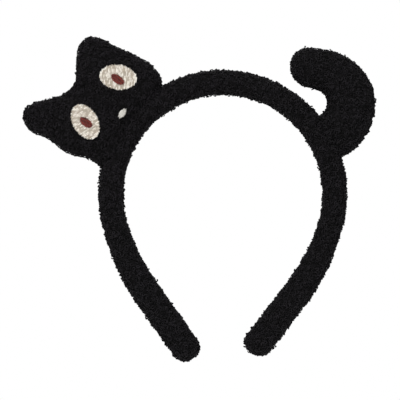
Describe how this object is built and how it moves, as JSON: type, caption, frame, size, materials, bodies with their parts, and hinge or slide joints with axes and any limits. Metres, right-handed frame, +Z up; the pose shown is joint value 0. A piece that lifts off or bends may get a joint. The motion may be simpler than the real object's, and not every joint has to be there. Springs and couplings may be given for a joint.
{
  "type": "animal ears headband",
  "caption": "Sprung, padded headband in looped fabric, with a stuffed cat head and a stuffed curled tail sewn on its outer side.",
  "frame": {"origin": "middle of the crown's inner face, where the headband rests on the top of a head", "axes": "+Z up as worn, front faces -Y, +X to the right seen from the front; the hoop lies in the XZ plane"},
  "size_m": [0.1946, 0.025, 0.1774],
  "materials": {
    "looped_fabric": "black looped fleece, curly loops of soft yarn about 2 mm across",
    "foam": "soft open-cell foam sleeve",
    "spring_steel": "thin rolled spring steel strip",
    "vinyl": "soft dipped vinyl",
    "fibre_filling": "loose polyester fibre filling",
    "backing_felt": "thin non-woven embroidery backing",
    "cream_thread": "cream embroidery thread, close fill stitch with a slight sheen",
    "red_thread": "dark red embroidery thread in satin stitch",
    "silver_thread": "silver-white embroidery thread in satin stitch",
    "black_thread": "black sewing thread"
  },
  "bodies": {
    "crown": {"spring_strip_crown": "spring_steel", "padding_crown": "foam", "cover_crown": "looped_fabric", "cover_seam_crown": "black_thread"},
    "left_side": {"spring_strip_left": "spring_steel", "padding_left": "foam", "cover_left": "looped_fabric", "cover_seam_left": "black_thread", "tip_cap_left": "vinyl", "head_front": "looped_fabric", "head_back": "looped_fabric", "head_stuffing": "fibre_filling", "embroidery_backing": "backing_felt", "eye_left": "cream_thread", "eye_right": "cream_thread", "pupil_left": "red_thread", "pupil_right": "red_thread", "mouth": "silver_thread", "head_edge_seam": "black_thread", "head_seat_stitching_front": "black_thread", "head_seat_stitching_back": "black_thread"},
    "right_side": {"spring_strip_right": "spring_steel", "padding_right": "foam", "cover_right": "looped_fabric", "cover_seam_right": "black_thread", "tip_cap_right": "vinyl", "tail_front": "looped_fabric", "tail_back": "looped_fabric", "tail_stuffing": "fibre_filling", "tail_edge_seam": "black_thread", "tail_seat_stitching_front": "black_thread", "tail_seat_stitching_back": "black_thread"}
  },
  "joints": [
    {"name": "left_flex", "type": "hinge", "parent": "crown", "child": "left_side", "pos_m": [-0.01764, 0, 0.01068], "axis": [0, 1, 0], "range_deg": [-4, 22], "stiffness_Nm_per_rad": 0.65},
    {"name": "right_flex", "type": "hinge", "parent": "crown", "child": "right_side", "pos_m": [0.01764, 0, 0.01068], "axis": [0, -1, 0], "range_deg": [-4, 22], "stiffness_Nm_per_rad": 0.65}
  ]
}
